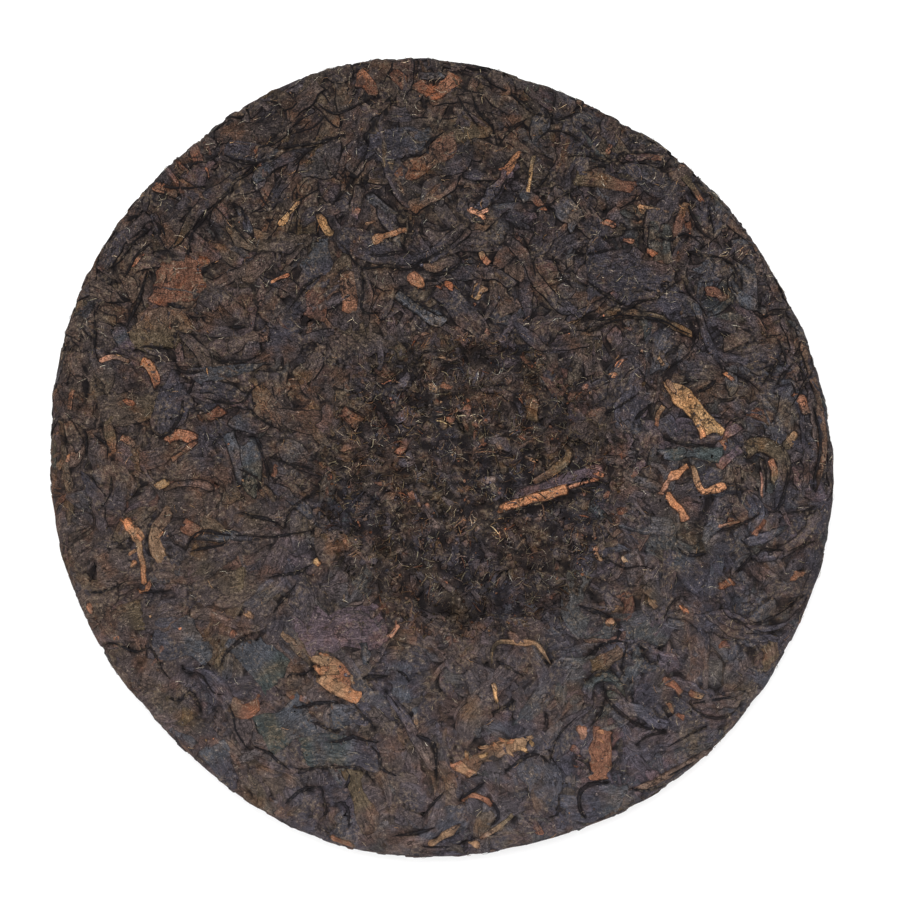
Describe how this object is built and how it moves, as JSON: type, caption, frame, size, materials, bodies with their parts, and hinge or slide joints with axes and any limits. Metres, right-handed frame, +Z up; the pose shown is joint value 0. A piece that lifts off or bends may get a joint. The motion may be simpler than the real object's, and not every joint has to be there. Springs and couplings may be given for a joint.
{
  "type": "pu erh tea cake",
  "caption": "Round flat cake of pressed pu erh tea leaves with a soft rounded rim and a knot dimple in the middle of its upper face.",
  "frame": {"origin": "middle of the cake's outline, at the level of the surface that it rests on", "axes": "+Z up through the cake's thickness, out of the dimpled face; +X is the picture's right and +Y its top"},
  "size_m": [0.2, 0.203, 0.0253],
  "materials": {
    "pressed_leaf": null
  },
  "bodies": {
    "root": {"tea_cake": "pressed_leaf"}
  },
  "joints": []
}
